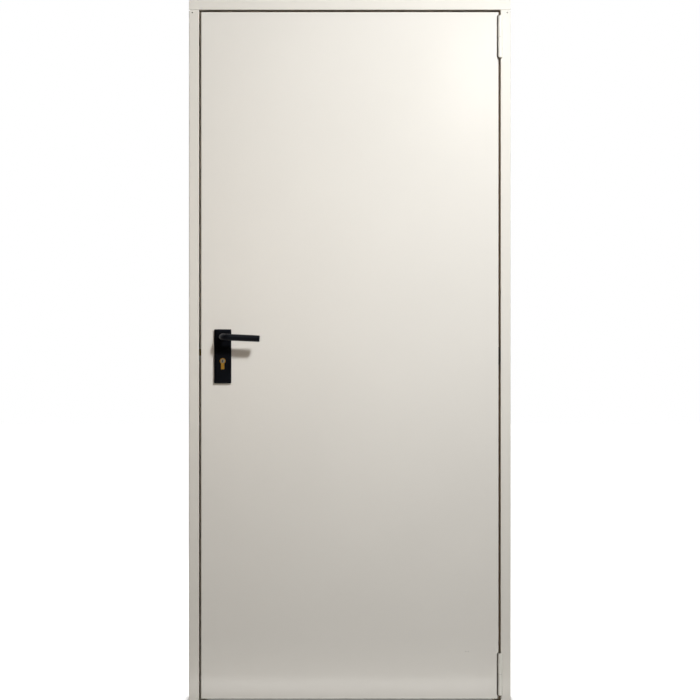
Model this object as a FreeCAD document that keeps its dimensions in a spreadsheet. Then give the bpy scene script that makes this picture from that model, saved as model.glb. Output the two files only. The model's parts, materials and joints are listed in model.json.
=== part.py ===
import FreeCAD
import Part
import Sketcher

import math
import os

from FreeCAD import Vector

# A steel utility door: a leaf of two steel skins, hung by two lift-off hinges in a folded
# steel frame, with a lever handle on each side. Millimetres, +Z up. The side that the door
# opens towards faces -Y, and the hinges are at +X. The origin is at floor level on the wall
# side of the hinge jamb's fixing flange, on the line of its fixing holes.

SIZES = {
    # Doorway between the jambs and under the head
    "clear_width": 903,
    "clear_height": 2071,
    # Folded section that the jambs and the head share
    "sheet": 1.5,
    "bend_radius": 0.8,
    "face_width": 30,
    "return_depth": 12,
    "rebate_depth": 46,
    "stop_width": 22,
    "stop_depth": 16,
    "flange_depth": 34,
    "fixing_hole": 9,
    "fixing_first": 250,
    "fixing_last": 321,
    # Corner joint between jamb and head
    "notch_height": 12,
    "relief_width": 3,
    "relief_height": 2.5,
    "bracket_sheet": 2,
    "bracket_width": 13,
    "bracket_reach": 60,
    "bracket_inset": 10,
    "corner_screw_hole": 4.2,
    "corner_screw_drop": 8,
    # Rubber seal on the stop
    "seal_base_width": 11,
    "seal_base_depth": 2,
    "seal_bulb_width": 8,
    "seal_bulb_bevel": 2,
    "seal_gap": 0.3,
    "seal_end_gap": 2,
    # Leaf
    "leaf_depth": 40,
    "lock_gap": 6.4,
    "hinge_gap": 6.5,
    "top_gap": 7,
    "bottom_gap": 9.5,
    "skin": 1,
    "skin_bend": 0.6,
    "hem_depth": 12,
    "channel_leg": 25,
    "core_inset": 12,
    # Hinges
    "hinge_from_end": 73.5,
    "knuckle_radius": 6.5,
    "knuckle_length": 62,
    "knuckle_gap": 0.8,
    "wing_inset": 1,
    "axis_forward": 8,
    "axis_from_jamb": 1.5,
    "pin_radius": 4,
    "pin_reach": 50,
    "pin_fit": 0.05,
    "pin_end_gap": 0.3,
    "wing_sheet": 3,
    "wing_reach": 42,
    "wing_step": 4,
    "wing_step_start": 16,
    "wing_step_end": 22,
    "recess_depth": 36,
    "recess_margin": 4,
    "recess_slant": 5,
    "hinge_plate_sheet": 3,
    "hinge_plate_length": 144,
    # Lock, measured from the lever's axis
    "handle_height": 1092,
    "backset": 65,
    "lock_distance": 72,
    "case_depth": 15,
    "case_length": 88,
    "case_above": 35,
    "case_below": 130,
    "forend_sheet": 3,
    "forend_width": 24,
    "forend_above": 60,
    "forend_below": 175,
    "forend_gap": 0.2,
    "bolt_height": 20,
    "bolt_depth": 12,
    "bolt_gap": 0.3,
    "latch_drop": 46,
    "deadbolt_drop": 68,
    "latch_proud": 11.4,
    "latch_nose": 2.5,
    "latch_tail": 34,
    "deadbolt_proud": 0.6,
    "deadbolt_tail": 34,
    "follower_room": 13,
    # Strike in the lock jamb
    "strike_above": 30,
    "strike_below": 82,
    "strike_depth": 22,
    "box_sheet": 1,
    "box_height": 18,
    "box_rim": 3,
    # Profile cylinder
    "cylinder_radius": 8.5,
    "cylinder_web": 10,
    "cylinder_height": 33,
    "cylinder_proud": 1.5,
    "cylinder_gap": 0.3,
    "plug_radius": 6.2,
    "plug_depth": 10,
    "plug_gap": 0.05,
    "keyway_width": 2,
    "keyway_height": 8,
    "keyway_depth": 8,
    # Handle plates
    "plate_width": 51,
    "plate_height": 162,
    "plate_above": 23,
    "plate_depth": 9,
    "plate_bevel": 5.5,
    "plate_bevel_depth": 3,
    "plate_corner": 1.5,
    "insert_height": 24,
    "insert_width": 38,
    "insert_drop": 44,
    "insert_depth": 1.5,
    "insert_gap": 0.2,
    # Levers and spindle
    "lever_radius": 9.8,
    "lever_end_bevel": 1.5,
    "lever_length": 112,
    "lever_standoff": 52,
    "elbow_radius": 19,
    "lever_droop": 2.8,
    "lever_gap": 0.3,
    "lever_inset": 3,
    "spindle_width": 8,
    "spindle_gap": 0.05,
    "spindle_socket": 24,
    "skin_hole": 24,
    # Blank cover in the leaf's hinge edge
    "cover_above": 30,
    "cover_below": 82,
    "cover_width": 22,
    "cover_proud": 1.5,
    "cover_rim": 2,
    "cover_body": 6,
}

BOTH_WAYS = 2000
START_RING = 50
SAME = 1e-6
RIGHT_ANGLE = 90
FULL_TURN = 360

doc = FreeCAD.newDocument("steel_utility_door")
sheet = doc.addObject("Spreadsheet::Sheet", "Sizes")
for row, (alias, number) in enumerate(SIZES.items(), 1):
    sheet.set(f"A{row}", alias)
    sheet.set(f"B{row}", str(number))
    sheet.setAlias(f"B{row}", alias)
doc.recompute()

subparts = []


def size(alias):
    return f"Sizes.{alias}"


def plus(*terms):
    return "(" + " + ".join(terms) + ")"


def minus(first, *others):
    return "(" + " - ".join((first,) + others) + ")"


def times(factor, term):
    return f"({factor} * {term})"


def half(term):
    return f"({term} / 2)"


# Planes and lines that several pieces share, worked out from the driving sizes.
FACE_Y = times(-1, plus(size("rebate_depth"), size("stop_depth"), half(size("flange_depth"))))
WALL_FACE_Y = plus(FACE_Y, size("return_depth"))
STOP_Y = plus(FACE_Y, size("rebate_depth"))
STOP_BACK_Y = plus(STOP_Y, size("stop_depth"))
FLANGE_END_Y = plus(STOP_BACK_Y, size("flange_depth"))
LEAF_FRONT_Y = FACE_Y
LEAF_BACK_Y = plus(LEAF_FRONT_Y, size("leaf_depth"))
LEAF_MIDDLE_Y = plus(LEAF_FRONT_Y, half(size("leaf_depth")))
HINGE_JAMB_X = times(-1, size("sheet"))
LOCK_JAMB_X = minus(HINGE_JAMB_X, size("clear_width"))
LOCK_WALL_X = minus(LOCK_JAMB_X, size("sheet"))
LEAF_HINGE_X = minus(HINGE_JAMB_X, size("hinge_gap"))
LEAF_LOCK_X = plus(LOCK_JAMB_X, size("lock_gap"))
LEAF_WIDTH = minus(LEAF_HINGE_X, LEAF_LOCK_X)
LEAF_BOTTOM_Z = size("bottom_gap")
LEAF_TOP_Z = minus(size("clear_height"), size("top_gap"))
LEAF_HEIGHT = minus(LEAF_TOP_Z, LEAF_BOTTOM_Z)
HEAD_WALL_Z = plus(size("clear_height"), size("sheet"))
AXIS_X = minus(HINGE_JAMB_X, size("axis_from_jamb"))
AXIS_Y = minus(FACE_Y, size("axis_forward"))
TOP_HINGE_Z = minus(LEAF_TOP_Z, size("hinge_from_end"))
BOTTOM_HINGE_Z = plus(LEAF_BOTTOM_Z, size("hinge_from_end"))
SPINDLE_X = plus(LEAF_LOCK_X, size("backset"))
HANDLE_Z = size("handle_height")
KEY_Z = minus(HANDLE_Z, size("lock_distance"))
LATCH_Z = minus(HANDLE_Z, size("latch_drop"))
DEADBOLT_Z = minus(HANDLE_Z, size("deadbolt_drop"))
CASE_X = plus(LEAF_LOCK_X, size("forend_sheet"))
RECESS_X = minus(LEAF_HINGE_X, size("wing_sheet"), half(size("wing_step")))


def new_body(label):
    body = doc.addObject("PartDesign::Body", label)
    body.Label = label
    subparts.append(body)
    return body


def place(body, across="0", deep="0", up="0"):
    body.setExpression("Placement.Base.x", across)
    body.setExpression("Placement.Base.y", deep)
    body.setExpression("Placement.Base.z", up)


def new_sketch(body, name, plane, offset="0"):
    """A sketch on one of the body's own planes, moved along that plane's normal."""
    sketch = body.newObject("Sketcher::SketchObject", body.Label + "_" + name)
    support = [feature for feature in body.Origin.OriginFeatures if feature.Role == plane][0]
    sketch.AttachmentSupport = [(support, "")]
    sketch.MapMode = "FlatFace"
    sketch.setExpression("AttachmentOffset.Base.z", offset)
    return sketch


def plan(body, name, height="0"):
    return new_sketch(body, name, "XY_Plane", height)


def elevation(body, name, depth="0"):
    return new_sketch(body, name, "XZ_Plane", times(-1, depth))


def side_view(body, name, across="0"):
    return new_sketch(body, name, "YZ_Plane", across)


def hold(sketch, geometry, point, across, along):
    """Fix one point of a sketch by two lengths from the sketch's origin."""
    for kind, length in (("DistanceX", across), ("DistanceY", along)):
        start = sketch.getPoint(geometry, point)
        value = start.x if kind == "DistanceX" else start.y
        number = sketch.addConstraint(Sketcher.Constraint(kind, -1, 1, geometry, point, value))
        sketch.setExpression(f"Constraints[{number}]", length)


def outline(sketch, corners):
    """A closed outline of straight lines through the given corners."""
    first = sketch.GeometryCount
    count = len(corners)
    turn = 2 * math.pi / count
    ring = [Vector(START_RING * math.cos(turn * number), START_RING * math.sin(turn * number), 0)
            for number in range(count)]
    for number in range(count):
        sketch.addGeometry(Part.LineSegment(ring[number], ring[(number + 1) % count]))
    for number in range(count):
        following = first + (number + 1) % count
        sketch.addConstraint(Sketcher.Constraint("Coincident", first + number, 2, following, 1))
    for number, (across, along) in enumerate(corners):
        hold(sketch, first + number, 1, across, along)


def rectangle(sketch, left, low, right, high):
    outline(sketch, [(left, low), (right, low), (right, high), (left, high)])


def circle(sketch, across, along, radius):
    start = Part.Circle(Vector(START_RING, START_RING, 0), Vector(0, 0, 1), START_RING)
    geometry = sketch.addGeometry(start)
    hold(sketch, geometry, 3, across, along)
    number = sketch.addConstraint(Sketcher.Constraint("Radius", geometry, START_RING))
    sketch.setExpression(f"Constraints[{number}]", radius)


def pad(body, sketch, length, backwards=False, both_ways=False):
    feature = body.newObject("PartDesign::Pad", sketch.Label + "_pad")
    feature.Profile = sketch
    feature.Reversed = backwards
    if both_ways:
        feature.SideType = "Symmetric"
    feature.setExpression("Length", length)
    doc.recompute()
    return feature


def cut(body, sketch, depth=None, backwards=False):
    """Cut a sketch's outline into the body, right through where no depth is given."""
    before = body.Shape.Volume
    feature = body.newObject("PartDesign::Pocket", sketch.Label + "_cut")
    feature.Profile = sketch
    feature.Reversed = backwards
    if depth is None:
        feature.SideType = "Symmetric"
        feature.Length = BOTH_WAYS
    else:
        feature.setExpression("Length", depth)
    doc.recompute()
    if not SAME < body.Shape.Volume < before - SAME:
        raise RuntimeError(f"{feature.Label} removes nothing or everything")
    return feature


def turn(body, sketch, axis, angle, backwards=False):
    """Turn a sketch's outline about one of the sketch's own axes."""
    feature = body.newObject("PartDesign::Revolution", sketch.Label + "_turned")
    feature.Profile = sketch
    feature.ReferenceAxis = (sketch, [axis])
    feature.Angle = angle
    feature.Reversed = backwards
    doc.recompute()
    return feature


def edges_through(shape, points, direction):
    """Names of the straight edges that run along a direction through any of the points."""
    names = []
    for number, edge in enumerate(shape.Edges, 1):
        if not isinstance(edge.Curve, Part.Line):
            continue
        if edge.Curve.Direction.cross(direction).Length > SAME:
            continue
        offsets = [(edge.Vertexes[0].Point - point).cross(direction).Length for point in points]
        if min(offsets) < SAME:
            names.append(f"Edge{number}")
    return names


def round_corners(body, sketch, corners, radius):
    """Round the long edges that rise from some corners of a padded outline."""
    base = body.Tip
    points = [sketch.Placement.multVec(sketch.Geometry[corner].StartPoint) for corner in corners]
    direction = sketch.Placement.Rotation.multVec(Vector(0, 0, 1))
    feature = body.newObject("PartDesign::Fillet", f"{sketch.Label}_round_{len(body.Group)}")
    feature.Base = (base, edges_through(base.Shape, points, direction))
    feature.setExpression("Radius", radius)
    doc.recompute()
    return feature


def face_edges(shape, direction):
    """Names of the edges round the flat face that lies furthest along a direction."""
    furthest = max(vertex.Point.dot(direction) for vertex in shape.Vertexes)
    names = []
    for number, edge in enumerate(shape.Edges, 1):
        ends = [vertex.Point.dot(direction) for vertex in edge.Vertexes]
        middle = edge.valueAt((edge.FirstParameter + edge.LastParameter) / 2).dot(direction)
        if min(ends + [middle]) > furthest - SAME:
            names.append(f"Edge{number}")
    return names


def bevel_face(body, direction, height, width):
    """Bevel the rim of the flat face that lies furthest along a direction: height is taken
    from the sides and width from the face."""
    base = body.Tip
    feature = body.newObject("PartDesign::Chamfer", f"{body.Label}_bevel")
    feature.Base = (base, face_edges(base.Shape, direction))
    feature.ChamferType = "Two distances"
    feature.setExpression("Size", height)
    feature.setExpression("Size2", width)
    doc.recompute()
    return feature


# Frame


def section(outward, swap=False):
    """Corners of the folded section. outward turns a distance from the wall side of the
    rebate, away from the doorway, into a place along the sketch's first axis."""
    thick = size("sheet")
    outer = minus(size("face_width"), thick)
    nose = times(-1, plus(thick, size("stop_width")))
    corners = [
        (outer, WALL_FACE_Y),
        (outer, FACE_Y),
        (times(-1, thick), FACE_Y),
        (times(-1, thick), STOP_Y),
        (nose, STOP_Y),
        (nose, STOP_BACK_Y),
        (times(-1, thick), STOP_BACK_Y),
        (times(-1, thick), FLANGE_END_Y),
        ("0", FLANGE_END_Y),
        ("0", minus(STOP_BACK_Y, thick)),
        (plus(nose, thick), minus(STOP_BACK_Y, thick)),
        (plus(nose, thick), plus(STOP_Y, thick)),
        ("0", plus(STOP_Y, thick)),
        ("0", plus(FACE_Y, thick)),
        (minus(outer, thick), plus(FACE_Y, thick)),
        (minus(outer, thick), WALL_FACE_Y),
    ]
    placed = [(outward(distance), deep) for distance, deep in corners]
    if swap:
        return [(deep, distance) for distance, deep in placed]
    return placed


FIXINGS = 4
OUTER_BENDS = [1, 2, 4, 5, 9, 12]
INNER_BENDS = [3, 6, 10, 11, 13, 14]


def round_section(body, sketch):
    round_corners(body, sketch, OUTER_BENDS, plus(size("bend_radius"), size("sheet")))
    round_corners(body, sketch, INNER_BENDS, size("bend_radius"))


def from_hinge_side(distance):
    return distance


def from_lock_side(distance):
    return minus(LOCK_WALL_X, distance)


def above_head(distance):
    return plus(HEAD_WALL_Z, distance)


def make_jamb(label, outward):
    """A folded jamb with its fixing holes, the corner screw's hole and, at its outer top
    corner, the small relief that lets the face and the return be folded cleanly."""
    body = new_body(label)
    profile = plan(body, "section")
    outline(profile, section(outward))
    pad(body, profile, size("clear_height"))
    round_section(body, profile)
    holes = side_view(body, "fixing_holes", outward("0"))
    span = minus(size("clear_height"), size("fixing_first"), size("fixing_last"))
    for number in range(FIXINGS):
        height = plus(size("fixing_first"), times(number / (FIXINGS - 1), span))
        circle(holes, "0", height, half(size("fixing_hole")))
    cut(body, holes)
    corner = elevation(body, "corner_screw")
    corner_screw(corner, outward)
    cut(body, corner)
    relief = elevation(body, "corner_relief", FACE_Y)
    edge = minus(size("face_width"), size("sheet"))
    low = minus(size("clear_height"), size("relief_height"))
    rectangle(relief, outward(minus(edge, size("relief_width"))), low,
              outward(plus(edge, size("relief_width"))), plus(HEAD_WALL_Z, size("relief_height")))
    cut(body, relief, plus(size("return_depth"), size("sheet")))
    return body


def corner_screw(sketch, outward):
    place_out = minus(size("face_width"), size("sheet"), size("bracket_inset"))
    height = minus(size("clear_height"), size("corner_screw_drop"))
    circle(sketch, outward(place_out), height, half(size("corner_screw_hole")))


def make_lock_jamb():
    """The lock jamb also has the opening that the latch and the deadbolt enter."""
    body = make_jamb("lock_jamb", from_lock_side)
    opening = side_view(body, "strike_opening", LOCK_JAMB_X)
    strike_outline(opening, "0")
    cut(body, opening, times(2, size("sheet")))


def strike_outline(sketch, margin):
    front = minus(LEAF_MIDDLE_Y, half(size("strike_depth")), margin)
    back = plus(LEAF_MIDDLE_Y, half(size("strike_depth")), margin)
    low = minus(HANDLE_Z, size("strike_below"), margin)
    high = plus(minus(HANDLE_Z, size("strike_above")), margin)
    rectangle(sketch, front, low, back, high)


def make_head():
    """The head's face runs over both jambs. Behind it the section is cut back, so that the
    rebate and the flange end at the jambs and the stop fits between their stops."""
    body = new_body("frame_head")
    hinge_end = minus(size("face_width"), size("sheet"))
    profile = side_view(body, "section", from_lock_side(hinge_end))
    outline(profile, section(above_head, swap=True))
    pad(body, profile, plus(size("clear_width"), times(2, size("face_width"))))
    round_section(body, profile)
    stops = elevation(body, "stop_ends", STOP_Y)
    stop_side = times(-1, plus(size("sheet"), size("stop_width")))
    low = minus(size("clear_height"), times(2, size("stop_width")))
    for outward in (from_hinge_side, from_lock_side):
        rectangle(stops, outward(stop_side), low, outward(hinge_end), size("clear_height"))
    cut(body, stops, times(2, size("rebate_depth")))
    notches = elevation(body, "jamb_notches", plus(FACE_Y, size("sheet")))
    high = plus(size("clear_height"), size("notch_height"))
    for outward in (from_hinge_side, from_lock_side):
        rectangle(notches, outward("0"), low, outward(times(2, size("face_width"))), high)
    cut(body, notches, times(4, size("rebate_depth")))


def make_corner_bracket(label, outward):
    """An L-shaped plate behind the faces of jamb and head."""
    body = new_body(label)
    shape = elevation(body, "shape", plus(FACE_Y, size("sheet")))
    middle = minus(size("face_width"), size("sheet"), size("bracket_inset"))
    outer = plus(middle, half(size("bracket_width")))
    inner = minus(middle, half(size("bracket_width")))
    head_middle = minus(plus(size("clear_height"), size("face_width")), size("bracket_inset"))
    high = plus(head_middle, half(size("bracket_width")))
    low_head = minus(head_middle, half(size("bracket_width")))
    foot = minus(size("clear_height"), size("bracket_reach"))
    tip = minus(inner, size("bracket_reach"))
    corners = [(outer, foot), (outer, high), (tip, high), (tip, low_head),
               (inner, low_head), (inner, foot)]
    outline(shape, [(outward(across), along) for across, along in corners])
    corner_screw(shape, outward)
    pad(body, shape, size("bracket_sheet"), backwards=True)


def seal_section(middle, swap=False):
    """A flat base on the stop and a narrower bulb that the leaf closes on."""
    base = half(size("seal_base_width"))
    bulb = half(size("seal_bulb_width"))
    tip = minus(bulb, size("seal_bulb_bevel"))
    shoulder = minus(STOP_Y, size("seal_base_depth"))
    front = plus(LEAF_BACK_Y, size("seal_gap"))
    slope = plus(front, size("seal_bulb_bevel"))
    corners = [(times(-1, base), STOP_Y), (base, STOP_Y), (base, shoulder), (bulb, shoulder),
               (bulb, slope), (tip, front), (times(-1, tip), front), (times(-1, bulb), slope),
               (times(-1, bulb), shoulder), (times(-1, base), shoulder)]
    placed = [(plus(middle, across), deep) for across, deep in corners]
    if swap:
        return [(deep, across) for across, deep in placed]
    return placed


def make_seal(label, profile_of, middle, length, swap=False):
    body = new_body(label)
    profile = profile_of(body)
    outline(profile, seal_section(middle, swap))
    pad(body, profile, length)


def make_seals():
    stop_middle = times(-1, plus(size("sheet"), half(size("stop_width"))))
    height = minus(size("clear_height"), times(2, size("seal_end_gap")))

    def at_foot(body):
        return plan(body, "section", size("seal_end_gap"))

    make_seal("hinge_side_seal", at_foot, from_hinge_side(stop_middle), height)
    make_seal("lock_side_seal", at_foot, from_lock_side(stop_middle), height)
    end = minus(stop_middle, half(size("seal_base_width")))

    def beside_lock_seal(body):
        return side_view(body, "section", from_lock_side(end))

    length = minus(from_hinge_side(end), from_lock_side(end))
    make_seal("head_seal", beside_lock_seal, above_head(stop_middle), length, swap=True)


def make_strike_box():
    """A sheet box on the wall side of the lock jamb that closes the strike opening."""
    body = new_body("strike_box")
    block = side_view(body, "block", LOCK_WALL_X)
    strike_outline(block, plus(size("box_rim"), size("box_sheet")))
    pad(body, block, size("box_height"), backwards=True)
    inside = side_view(body, "inside", LOCK_WALL_X)
    strike_outline(inside, size("box_rim"))
    cut(body, inside, minus(size("box_height"), size("box_sheet")))


# Hinges


def make_hinge(name, height):
    """A lift-off hinge: the lower knuckle on the frame carries the pin, and the upper
    knuckle on the leaf turns on it. The outlines are drawn from the pin's axis."""
    make_hinge_half(f"{name}_hinge_frame_half", height, frame_wing(), -1)
    make_hinge_half(f"{name}_hinge_leaf_half", height, leaf_wing(), 1)
    body = new_body(f"{name}_hinge_pin")
    profile = plan(body, "pin", times(-1, size("pin_reach")))
    circle(profile, "0", "0", size("pin_radius"))
    pad(body, profile, minus(times(2, size("pin_reach")), size("pin_end_gap")))
    place(body, AXIS_X, AXIS_Y, height)


def frame_wing():
    """A flat wing on the rebate of the jamb."""
    seat = size("axis_from_jamb")
    inner = minus(seat, size("wing_sheet"))
    return [(inner, "0"), (seat, "0"), (seat, size("wing_reach")), (inner, size("wing_reach"))]


def leaf_wing():
    """A wing that leaves the knuckle at its side and steps back onto the leaf's recess."""
    side = times(-1, size("knuckle_radius"))
    inner = plus(side, size("wing_sheet"))
    seat = minus(RECESS_X, AXIS_X)
    seat_outer = plus(seat, size("wing_sheet"))
    return [(side, "0"), (inner, "0"), (inner, size("wing_step_start")),
            (seat_outer, size("wing_step_end")), (seat_outer, size("wing_reach")),
            (seat, size("wing_reach")), (seat, size("wing_step_end")),
            (side, size("wing_step_start"))]


def make_hinge_half(label, height, wing, way):
    body = new_body(label)
    near = times(way, half(size("knuckle_gap")))
    knuckle = plan(body, "knuckle", near)
    circle(knuckle, "0", "0", size("knuckle_radius"))
    pad(body, knuckle, size("knuckle_length"), backwards=way < 0)
    plate = plan(body, "wing", plus(near, times(way, size("wing_inset"))))
    outline(plate, wing)
    length = minus(size("knuckle_length"), times(2, size("wing_inset")))
    pad(body, plate, length, backwards=way < 0)
    bore = plan(body, "bore", near)
    circle(bore, "0", "0", plus(size("pin_radius"), size("pin_fit")))
    cut(body, bore, minus(size("pin_reach"), half(size("knuckle_gap"))), backwards=way > 0)
    place(body, AXIS_X, AXIS_Y, height)


# Leaf


def tray_section(left, right, deep_edge, face_edge, thick):
    """A sheet with both sides folded: its face at face_edge, its sides ending at deep_edge.
    thick points from the face towards the sides' ends."""
    return [(left, deep_edge), (left, face_edge), (right, face_edge), (right, deep_edge),
            (minus(right, size("skin")), deep_edge),
            (minus(right, size("skin")), plus(face_edge, thick)),
            (plus(left, size("skin")), plus(face_edge, thick)),
            (plus(left, size("skin")), deep_edge)]


TRAY_OUTER_BENDS = [1, 2]
TRAY_INNER_BENDS = [5, 6]


def round_tray(body, profile):
    round_corners(body, profile, TRAY_OUTER_BENDS, plus(size("skin"), size("skin_bend")))
    round_corners(body, profile, TRAY_INNER_BENDS, size("skin_bend"))


def recess_outline(sketch, height):
    """The recess for a hinge in the leaf's edge, with slanted ends."""
    reach = plus(size("knuckle_length"), size("recess_margin"))
    short = minus(reach, size("recess_slant"))
    past = plus(LEAF_HINGE_X, size("recess_slant"))
    wide = plus(reach, size("recess_slant"))
    outline(sketch, [(RECESS_X, minus(height, short)), (past, minus(height, wide)),
                     (past, plus(height, wide)), (RECESS_X, plus(height, short))])


def cut_hinge_recess(body, height):
    recess = elevation(body, f"recess_{len(body.Group)}", LEAF_FRONT_Y)
    recess_outline(recess, height)
    cut(body, recess, size("recess_depth"))


def cut_handle_holes(body):
    """Holes for the spindle and the cylinder, which the handle plates cover."""
    holes = elevation(body, "handle_holes", LEAF_MIDDLE_Y)
    reach = half(size("skin_hole"))
    left = minus(SPINDLE_X, reach)
    right = plus(SPINDLE_X, reach)
    rectangle(holes, left, minus(HANDLE_Z, reach), right, plus(HANDLE_Z, reach))
    rectangle(holes, left, minus(KEY_Z, size("cylinder_height")), right, plus(KEY_Z, reach))
    cut(body, holes)


def make_front_skin():
    """The front sheet, whose folded sides are the leaf's two edges."""
    body = new_body("front_skin")
    profile = plan(body, "section", LEAF_BOTTOM_Z)
    outline(profile, tray_section(LEAF_LOCK_X, LEAF_HINGE_X, LEAF_BACK_Y, LEAF_FRONT_Y,
                                  size("skin")))
    pad(body, profile, LEAF_HEIGHT)
    round_tray(body, profile)
    cut_hinge_recess(body, TOP_HINGE_Z)
    cut_hinge_recess(body, BOTTOM_HINGE_Z)
    cut_handle_holes(body)
    forend = side_view(body, "forend_opening", LEAF_LOCK_X)
    forend_outline(forend, size("forend_gap"))
    cut(body, forend, times(2, size("skin")), backwards=True)
    cover = side_view(body, "cover_opening", LEAF_HINGE_X)
    cover_outline(cover, times(-1, minus(size("cover_rim"), size("forend_gap"))))
    cut(body, cover, times(2, size("skin")))


def make_back_skin():
    """The back sheet, a shallow tray pressed in between the front sheet's sides."""
    body = new_body("back_skin")
    profile = plan(body, "section", LEAF_BOTTOM_Z)
    left = plus(LEAF_LOCK_X, size("skin"))
    right = minus(LEAF_HINGE_X, size("skin"))
    hem_end = minus(LEAF_BACK_Y, size("hem_depth"))
    outline(profile, tray_section(left, right, hem_end, LEAF_BACK_Y, times(-1, size("skin"))))
    pad(body, profile, LEAF_HEIGHT)
    round_tray(body, profile)
    cut_hinge_recess(body, TOP_HINGE_Z)
    cut_hinge_recess(body, BOTTOM_HINGE_Z)
    cut_handle_holes(body)
    forend = side_view(body, "forend_opening", LEAF_LOCK_X)
    forend_outline(forend, size("forend_gap"))
    cut(body, forend, times(3, size("skin")), backwards=True)
    cover = side_view(body, "cover_opening", LEAF_HINGE_X)
    cover_outline(cover, times(-1, minus(size("cover_rim"), size("forend_gap"))))
    cut(body, cover, times(3, size("skin")))


def make_channel(label, web_z, way, hinge_z):
    """A channel between the skins that closes the leaf's top or bottom."""
    body = new_body(label)
    end_gap = plus(times(2, size("skin")), size("skin_bend"))
    profile = side_view(body, "section", plus(LEAF_LOCK_X, end_gap))
    front = plus(LEAF_FRONT_Y, size("skin"))
    back = minus(LEAF_BACK_Y, size("skin"))
    leg_end = plus(web_z, times(way, size("channel_leg")))
    under = plus(web_z, times(way, size("skin")))
    outline(profile, [(front, leg_end), (front, web_z), (back, web_z), (back, leg_end),
                      (minus(back, size("skin")), leg_end), (minus(back, size("skin")), under),
                      (plus(front, size("skin")), under), (plus(front, size("skin")), leg_end)])
    pad(body, profile, minus(LEAF_WIDTH, times(2, end_gap)))
    round_tray(body, profile)
    cut_hinge_recess(body, hinge_z)


def make_core():
    """The honeycomb core as one block, with room for the lock."""
    body = new_body("core")
    block = elevation(body, "block", plus(LEAF_FRONT_Y, size("skin")))
    left = plus(LEAF_LOCK_X, size("core_inset"))
    right = minus(LEAF_HINGE_X, size("core_inset"))
    low = plus(LEAF_BOTTOM_Z, size("channel_leg"))
    high = minus(LEAF_TOP_Z, size("channel_leg"))
    rectangle(block, left, low, right, high)
    pad(body, block, minus(size("leaf_depth"), times(2, size("skin"))), backwards=True)
    room = elevation(body, "lock_room", LEAF_MIDDLE_Y)
    past = plus(CASE_X, size("case_length"), size("skin"))
    floor = minus(HANDLE_Z, size("case_below"), size("skin"))
    top = plus(HANDLE_Z, size("case_above"), size("skin"))
    rectangle(room, LEAF_LOCK_X, floor, past, top)
    cut(body, room)


def make_hinge_plates():
    """Plates behind the hinge recesses, which the hinges' wings are screwed to."""
    for name, height in (("top", TOP_HINGE_Z), ("bottom", BOTTOM_HINGE_Z)):
        body = new_body(f"{name}_hinge_plate")
        profile = plan(body, "section", minus(height, half(size("hinge_plate_length"))))
        front = plus(LEAF_FRONT_Y, times(2, size("skin")))
        back = minus(LEAF_BACK_Y, times(2, size("skin")))
        rectangle(profile, minus(RECESS_X, size("hinge_plate_sheet")), front, RECESS_X, back)
        pad(body, profile, size("hinge_plate_length"))


def cover_outline(sketch, margin):
    front = minus(LEAF_MIDDLE_Y, half(size("cover_width")), margin)
    back = plus(LEAF_MIDDLE_Y, half(size("cover_width")), margin)
    low = minus(HANDLE_Z, size("cover_below"), margin)
    high = plus(minus(HANDLE_Z, size("cover_above")), margin)
    rectangle(sketch, front, low, back, high)


def make_blank_cover():
    """The plastic cover over the spare lock opening in the hinge edge."""
    body = new_body("blank_cover")
    face = side_view(body, "face", LEAF_HINGE_X)
    cover_outline(face, "0")
    pad(body, face, size("cover_proud"))
    plug = side_view(body, "plug", LEAF_HINGE_X)
    cover_outline(plug, times(-1, size("cover_rim")))
    pad(body, plug, size("cover_body"), backwards=True)


# Lock


def forend_outline(sketch, margin):
    front = minus(LEAF_MIDDLE_Y, half(size("forend_width")), margin)
    back = plus(LEAF_MIDDLE_Y, half(size("forend_width")), margin)
    low = minus(HANDLE_Z, size("forend_below"), margin)
    high = plus(HANDLE_Z, size("forend_above"), margin)
    rectangle(sketch, front, low, back, high)


def bolt_outline(sketch, height, margin):
    front = minus(LEAF_MIDDLE_Y, half(size("bolt_depth")), margin)
    back = plus(LEAF_MIDDLE_Y, half(size("bolt_depth")), margin)
    low = minus(height, half(size("bolt_height")), margin)
    high = plus(height, half(size("bolt_height")), margin)
    rectangle(sketch, front, low, back, high)


def make_forend():
    """The plate in the leaf's edge, with openings for the latch and the deadbolt."""
    body = new_body("lock_forend")
    plate = side_view(body, "plate", LEAF_LOCK_X)
    forend_outline(plate, "0")
    bolt_outline(plate, LATCH_Z, size("bolt_gap"))
    bolt_outline(plate, DEADBOLT_Z, size("bolt_gap"))
    pad(body, plate, size("forend_sheet"))


def make_lock_case():
    """The lock case behind the forend, with channels for both bolts."""
    body = new_body("lock_case")
    block = elevation(body, "block", LEAF_MIDDLE_Y)
    floor = minus(HANDLE_Z, size("case_below"))
    top = plus(HANDLE_Z, size("case_above"))
    rectangle(block, CASE_X, floor, plus(CASE_X, size("case_length")), top)
    follower = half(size("follower_room"))
    rectangle(block, minus(SPINDLE_X, follower), minus(HANDLE_Z, follower),
              plus(SPINDLE_X, follower), plus(HANDLE_Z, follower))
    pad(body, block, size("case_depth"), both_ways=True)
    for name, height, tail in (("latch", LATCH_Z, "latch_tail"),
                               ("deadbolt", DEADBOLT_Z, "deadbolt_tail")):
        channel = side_view(body, f"{name}_channel", CASE_X)
        bolt_outline(channel, height, size("bolt_gap"))
        room = plus(size(tail), size("latch_proud"))
        cut(body, channel, room, backwards=True)
    key_hole = elevation(body, "cylinder_hole", LEAF_MIDDLE_Y)
    wide = plus(size("cylinder_radius"), size("cylinder_gap"))
    low = minus(plus(KEY_Z, size("cylinder_radius")), size("cylinder_height"), size("cylinder_gap"))
    rectangle(key_hole, minus(SPINDLE_X, wide), low, plus(SPINDLE_X, wide), plus(KEY_Z, wide))
    cut(body, key_hole)


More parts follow.
